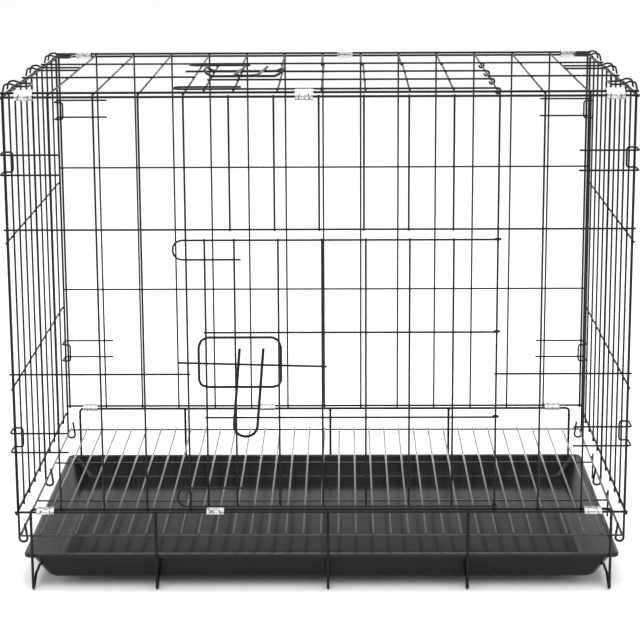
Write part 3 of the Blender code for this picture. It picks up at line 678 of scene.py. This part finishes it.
def make_clip(node, first, second, inside):
    """A sleeve round two wires along X, at the given (y, z) places, with a slit tongue."""
    low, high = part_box(node)
    x = (low[0] + high[0]) / 2
    run = Vector((0, second[0] - first[0], second[1] - first[1]))
    bpy.ops.object.select_all(action="DESELECT")
    bpy.ops.mesh.primitive_circle_add(
        vertices=24,
        radius=inside + CLIP_SHEET,
        location=(x - CLIP_WIDTH / 2, *first),
        rotation=(0, math.radians(90), 0),
    )
    clip = bpy.context.object
    clip.name = node + "_sleeve"
    clip.data.name = clip.name
    bpy.ops.object.transform_apply(location=True, rotation=True, scale=True)
    heading = run.normalized()
    start = Vector((x - CLIP_WIDTH / 2, *first))
    for vertex in clip.data.vertices:
        vertex.select = (vertex.co - start).dot(heading) > 0.00001
    for edge in clip.data.edges:
        edge.select = all(clip.data.vertices[i].select for i in edge.vertices)
    bpy.ops.object.mode_set(mode="EDIT")
    bpy.ops.transform.translate(value=run)
    bpy.ops.mesh.select_all(action="SELECT")
    for width in (0.0012, CLIP_WIDTH - 0.0024, 0.0012):
        bpy.ops.mesh.extrude_region_move(TRANSFORM_OT_translate={"value": (width, 0, 0)})
    bpy.ops.mesh.select_all(action="SELECT")
    bpy.ops.mesh.normals_make_consistent(inside=False)
    bpy.ops.object.mode_set(mode="OBJECT")
    sheet = clip.modifiers.new("sheet", "SOLIDIFY")
    sheet.thickness = CLIP_SHEET
    sheet.offset = -1
    bpy.ops.object.modifier_apply(modifier="sheet")
    face_y = -1 if first[0] < (FRONT + BACK) / 2 else 1
    for side in (-1, 1):
        slant = math.atan2(SLIT_BOTTOM - SLIT_TOP, 2 * (inside + CLIP_SHEET))
        bpy.ops.mesh.primitive_cube_add(
            size=1,
            location=(x + side * (SLIT_TOP + SLIT_BOTTOM) / 2, first[0] + face_y * inside, first[1]),
            rotation=(0, -side * slant, 0),
            scale=(SLIT, 2 * inside, 2.2 * (inside + CLIP_SHEET)),
        )
        cutter = bpy.context.object
        bpy.ops.object.select_all(action="DESELECT")
        clip.select_set(True)
        bpy.context.view_layer.objects.active = clip
        slit = clip.modifiers.new("slit", "BOOLEAN")
        slit.operation = "DIFFERENCE"
        slit.solver = "EXACT"
        slit.object = cutter
        bpy.ops.object.modifier_apply(modifier="slit")
        bpy.data.objects.remove(cutter)
    rounded = clip.modifiers.new("rounded", "BEVEL")
    rounded.width = 0.00012
    rounded.segments = 2
    rounded.limit_method = "ANGLE"
    rounded.angle_limit = math.radians(50)
    bpy.ops.object.modifier_apply(modifier="rounded")
    bpy.ops.object.shade_smooth_by_angle(angle=math.radians(40))
    clip.data.materials.append(zinc)
    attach(clip, "crate_frame")
    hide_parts(node)


BASE_BAR_HEIGHT = 0.0845
clip_edges = {
    "front_top_clip": ((FRONT - ROW_OUT, UPRIGHT_ROWS[-1]), (FRONT + TOP_ROWS[0], TOP + ROW_OUT)),
    "back_top_clip": ((BACK + ROW_OUT, UPRIGHT_ROWS[-1]), (BACK - TOP_ROWS[0], TOP + ROW_OUT)),
    "front_base_clip": ((FRONT - ROW_OUT, UPRIGHT_ROWS[0]), (FRONT + POST_DEPTH, BASE_BAR_HEIGHT)),
    "back_base_clip": (
        (BACK + ROW_OUT, UPRIGHT_ROWS[0]),
        (BACK - POST_DEPTH, BASE_BAR_HEIGHT - BACK_POST_DROP),
    ),
}
for edge_name, (first, second) in clip_edges.items():
    inside = TOP_CLIP_INSIDE if "top" in edge_name else BASE_CLIP_INSIDE
    for number in (1, 2, 3):
        make_clip(f"{edge_name}_{number}", first, second, inside)

# ---------------------------------------------------------------- corner hooks
# Hairpins of thin wire are welded across the outermost uprights of the front and back panels.
# Each reaches round the corner and turns in behind the side panel's edge wire to hold it.

HOOK_SPREAD = 0.0193
HOOK_ARM = 0.0528
HOOK_BACK = 0.0185
HOOK_TURN_IN = 0.0092
HOOK_OUT = SIDE_X + 0.0027
HOOK_Y = -0.0026
HOOK_BEND = 0.0027

for where_on, place, mirror in (("front", on_front, 1), ("back", on_back, -1)):
    for word, side in (("left", -1), ("right", 1)):
        for level in ("upper", "lower"):
            node = f"{where_on}_{word}_{level}_hook"
            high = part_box(node)[1][2] - THIN
            low = high - HOOK_SPREAD
            across = side * mirror
            near = across * (WIDTH / 2 - HOOK_ARM)
            outer = across * HOOK_OUT
            inner = across * (HOOK_OUT - HOOK_TURN_IN)
            path = [
                place(near, HOOK_Y, high),
                place(outer, HOOK_Y, high),
                place(outer, HOOK_BACK, high),
                place(inner, HOOK_BACK, high),
                place(inner, HOOK_BACK, low),
                place(outer, HOOK_BACK, low),
                place(outer, HOOK_Y, low),
                place(near, HOOK_Y, low),
            ]
            piece = start_piece(node + "_wire")
            draw_wire(path, THIN, HOOK_BEND)
            spots = []
            for z in (low, high):
                spots.append(place(across * WIDTH / 2, HOOK_Y / 2, z))
                spots.append(place(across * (WIDTH / 2 - CELL), HOOK_Y / 2, z))
            add_welds(spots, THIN)
            finish_piece(piece, epoxy, "crate_frame", [node])

# ---------------------------------------------------------------- top hooks
# Three hairpins on each end of the top panel lie over its edge wire. Their two ends arch over
# and curl down outside the side panel, so that its top edge can't swing out.

TOP_HOOK_SPREAD = 0.0280
TOP_HOOK_LEVEL = TOP + 0.0026
TOP_HOOK_DEPTHS = {"front": 0.070, "middle": 0.222, "back": 0.360}

for word, side in (("left", -1), ("right", 1)):
    for where_on, depth in TOP_HOOK_DEPTHS.items():
        node = f"{word}_{where_on}_top_hook"
        low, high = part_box(node)
        reach = (high[0] if side < 0 else low[0]) + side * THIN
        tip = (low[0] if side < 0 else high[0]) - side * THIN
        near = FRONT + depth - TOP_HOOK_SPREAD / 2
        far = FRONT + depth + TOP_HOOK_SPREAD / 2
        arm = [
            (tip, low[2] + THIN),
            (side * (SIDE_X + 0.0054), TOP_HOOK_LEVEL + 0.0018),
            (side * SIDE_X, TOP_HOOK_LEVEL + 0.0028),
            (side * (WIDTH / 2 - 0.0060), TOP_HOOK_LEVEL),
        ]
        path = [(x, near, z) for x, z in arm]
        path += [(reach, near, TOP_HOOK_LEVEL), (reach, far, TOP_HOOK_LEVEL)]
        path += [(x, far, z) for x, z in reversed(arm)]
        piece = start_piece(node + "_wire")
        draw_wire(path, THIN, 0.0030)
        edge_x = side * WIDTH / 2
        add_welds([(edge_x - side * 0.001, y, TOP + 0.0016) for y in (near, far)], THIN)
        finish_piece(piece, epoxy, "crate_frame", [node])

# ---------------------------------------------------------------- doors
# Each door is a light grid hung on the right post. Its cross wires are curled round the post
# as knuckles. On the latch side its outer wires are bent back in hairpins that lie on the left
# post and stop the door from swinging in.

ARM_OUT = -0.0026
DOOR_WIRE_OUT = -0.0007
DOOR_STUB = 0.0012
LATCH_STILE = 0.0180
LATCH_SPAN = 0.0465
DOOR_WIRES = 6
HAIRPIN_SPREAD = 0.0190
HAIRPIN_REACH = 0.0125
HAIRPIN_TAIL = 0.0530
stile = LEFT_POST + LATCH_STILE
door_pitch = (RIGHT_POST - LEFT_POST - LATCH_SPAN) / DOOR_WIRES


def make_door(name, place, lowest, highest, latch_bay, node):
    """A door of four cross wires in its panel's own directions, with the latch in its middle bay."""
    outer_bay = (highest - lowest - latch_bay) / 2
    rows = [lowest, lowest + outer_bay, highest - outer_bay, highest]
    piece = start_piece(name)
    uprights = [stile] + [RIGHT_POST - door_pitch * (wire + 1) for wire in range(DOOR_WIRES)]
    for x in uprights:
        draw_wire(
            [place(x, DOOR_WIRE_OUT, rows[0] - DOOR_STUB), place(x, DOOR_WIRE_OUT, rows[-1] + DOOR_STUB)],
            THIN,
        )
    curl = -ARM_OUT
    for index, height in enumerate(rows):
        inward = {0: 1, 3: -1}.get(index, 0)
        knuckle = [
            place(RIGHT_POST + curl, ARM_OUT, height),
            place(RIGHT_POST + curl, curl, height),
            place(RIGHT_POST - curl, curl, height),
            place(RIGHT_POST - curl, 0.0006, height),
        ]
        if inward:
            tip = LEFT_POST - HAIRPIN_REACH
            back = height + inward * HAIRPIN_SPREAD
            hairpin = [
                place(LEFT_POST + HAIRPIN_TAIL, ARM_OUT, back),
                place(tip, ARM_OUT, back),
                place(tip, ARM_OUT, height),
                place(stile + 0.01, ARM_OUT, height),
            ]
            draw_wire(hairpin, THIN, HAIRPIN_SPREAD * 0.49)
            start = stile + 0.01
        else:
            start = stile - STUB
        draw_wire([place(start, ARM_OUT, height), *knuckle], THIN, curl * 0.98)
    spots = [place(x, (ARM_OUT + DOOR_WIRE_OUT) / 2, z) for z in rows for x in uprights]
    for inward, height in ((1, rows[0]), (-1, rows[-1])):
        for x in (stile, uprights[-1]):
            spots.append(place(x, (ARM_OUT + DOOR_WIRE_OUT) / 2, height + inward * HAIRPIN_SPREAD))
    add_welds(spots, THIN)
    finish_piece(piece, epoxy, node, [node])
    return rows


FRONT_DOOR_ROWS = (0.0891, 0.3563)
TOP_DOOR_ROWS = (0.0273, 0.2720)
FRONT_LATCH_BAY = 0.0853
TOP_LATCH_BAY = 0.0777
front_rows = make_door("front_door_wires", on_front, *FRONT_DOOR_ROWS, FRONT_LATCH_BAY, "front_door")
top_rows = make_door("top_door_wires", on_top, *TOP_DOOR_ROWS, TOP_LATCH_BAY, "top_door")

# ---------------------------------------------------------------- latches
# A rounded wire frame is welded on each door as a guide. Its sides arch out over the bolt, which
# slides under them. A hairpin of thick wire welded across the bolt is the handle.

GUIDE = 0.0013
GUIDE_INSET = 0.0113
GUIDE_WIDTH = 0.0796
GUIDE_HEIGHT = 0.0495
GUIDE_DROP = 0.0046
GUIDE_CORNER = 0.0080
GUIDE_BEND = 0.0045
GUIDE_OUT = -0.0036
ARCH_OUT = -0.0090
BOLT = 0.0011
BOLT_OUT = -0.0060
BOLT_DROP = 0.0312
BOLT_OVERLAP = 0.0090
BOLT_LENGTH = 0.1444
BOLT_TILT = 0.0020
HANDLE = 0.0014
HANDLE_INSET = 0.0611
HANDLE_WIDTH = 0.0230
HANDLE_OUT = -0.0090
HANDLE_UP = 0.0170
HANDLE_DOWN = 0.0715
HANDLE_LEAN = 0.0060

for word, place, second_row in (("front", on_front, front_rows[2]), ("top", on_top, top_rows[2])):
    left = LEFT_POST + GUIDE_INSET
    right = left + GUIDE_WIDTH
    top = second_row - GUIDE_DROP
    bottom = top - GUIDE_HEIGHT
    half_way = (GUIDE_OUT + ARCH_OUT) / 2
    notch = GUIDE_CORNER * (1 - math.sqrt(0.5))
    loop = [((left + right) / 2, GUIDE_OUT, bottom)]
    for x, z, inward, upward in (
        (right, bottom, -1, 1),
        (right, top, -1, -1),
        (left, top, 1, -1),
        (left, bottom, 1, 1),
    ):
        corner = [
            (x + inward * GUIDE_CORNER, GUIDE_OUT, z),
            (x + inward * notch, half_way, z + upward * notch),
            (x, ARCH_OUT, z + upward * GUIDE_CORNER),
        ]
        loop += corner if inward != upward else corner[::-1]
    loop.append(loop[0])
    guide = start_piece(word + "_latch_guide_wire")
    draw_wire([place(*point) for point in loop], GUIDE, GUIDE_BEND)
    add_welds([place(RIGHT_POST - door_pitch * DOOR_WIRES, -0.0021, z) for z in (bottom, top)], THIN)
    finish_piece(guide, epoxy, word + "_door", [word + "_latch_guide"])

    bolt_height = second_row - BOLT_DROP
    start = LEFT_POST - BOLT_OVERLAP
    bolt = start_piece(word + "_bolt_wire")
    draw_wire(
        [
            place(start, BOLT_OUT, bolt_height + BOLT_TILT),
            place(start + BOLT_LENGTH, BOLT_OUT, bolt_height - BOLT_TILT),
        ],
        BOLT,
    )
    finish_piece(bolt, epoxy, word + "_bolt", [word + "_bolt"])

    grip_middle = LEFT_POST + HANDLE_INSET
    slope = HANDLE_LEAN / HANDLE_DOWN
    legs = []
    for side in (-1, 1):
        x = grip_middle + side * HANDLE_WIDTH / 2
        above = place(x + slope * HANDLE_UP, HANDLE_OUT, bolt_height + HANDLE_UP)
        below = place(x - HANDLE_LEAN, HANDLE_OUT, bolt_height - HANDLE_DOWN)
        legs.append((above, below))
    handle = start_piece(word + "_handle_wire")
    draw_wire([legs[0][0], legs[0][1], legs[1][1], legs[1][0]], HANDLE, HANDLE_WIDTH * 0.48)
    spots = [place(grip_middle + s * HANDLE_WIDTH / 2, -0.0076, bolt_height) for s in (-1, 1)]
    add_welds(spots, BOLT * 0.7)
    finish_piece(handle, epoxy, word + "_handle", [word + "_handle"])
